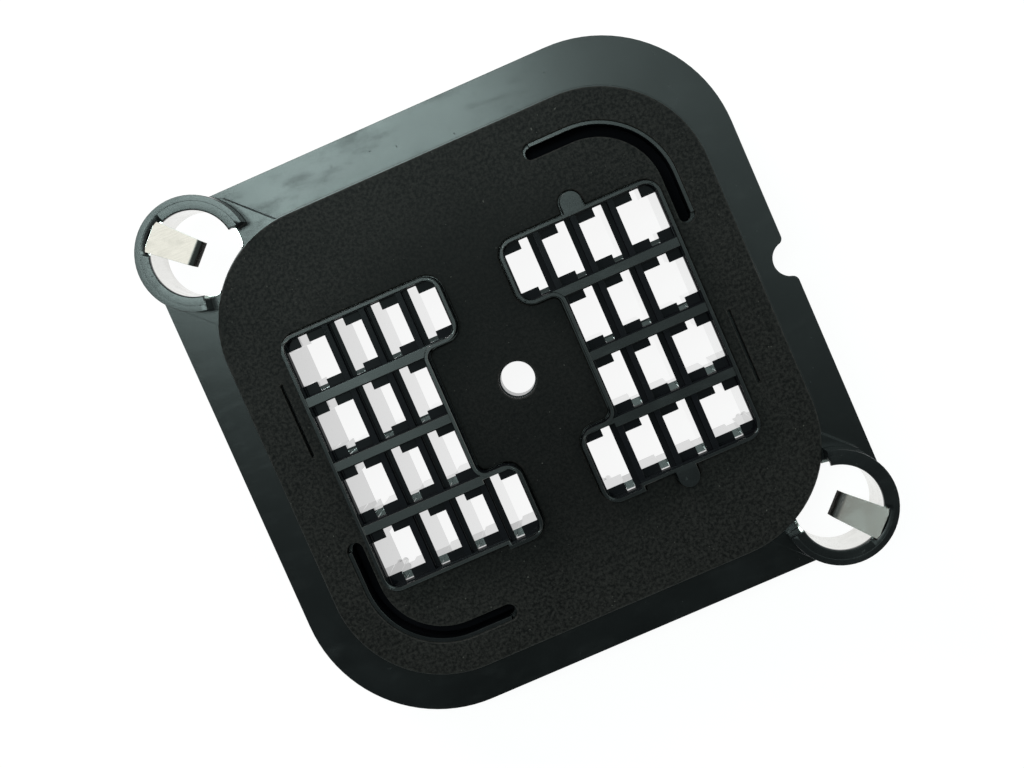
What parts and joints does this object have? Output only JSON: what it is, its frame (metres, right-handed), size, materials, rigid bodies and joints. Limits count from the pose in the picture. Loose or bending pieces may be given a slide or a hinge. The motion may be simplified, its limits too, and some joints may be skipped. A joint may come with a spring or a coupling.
{
  "type": "bulkhead connector housing",
  "caption": "Moulded bulkhead connector housing with two keyed terminal shrouds, a foam face gasket, a centre bolt hole and sprung stud retainers in corner cups.",
  "frame": {"origin": "on the axis of the centre bolt hole, in the back plane that the shrouds rest on", "axes": "+Z towards the mating face, +X along a terminal row towards the index notch, +Y across the rows"},
  "size_m": [0.0948, 0.0948, 0.024],
  "materials": {
    "housing_plastic": "smooth moulded black nylon",
    "gasket_foam": "matte closed-cell foam, die cut",
    "retainer_steel": "satin plated spring steel"
  },
  "bodies": {
    "root": {"housing": "housing_plastic", "gasket": "gasket_foam", "retainer_left": "retainer_steel", "retainer_right": "retainer_steel"}
  },
  "joints": []
}
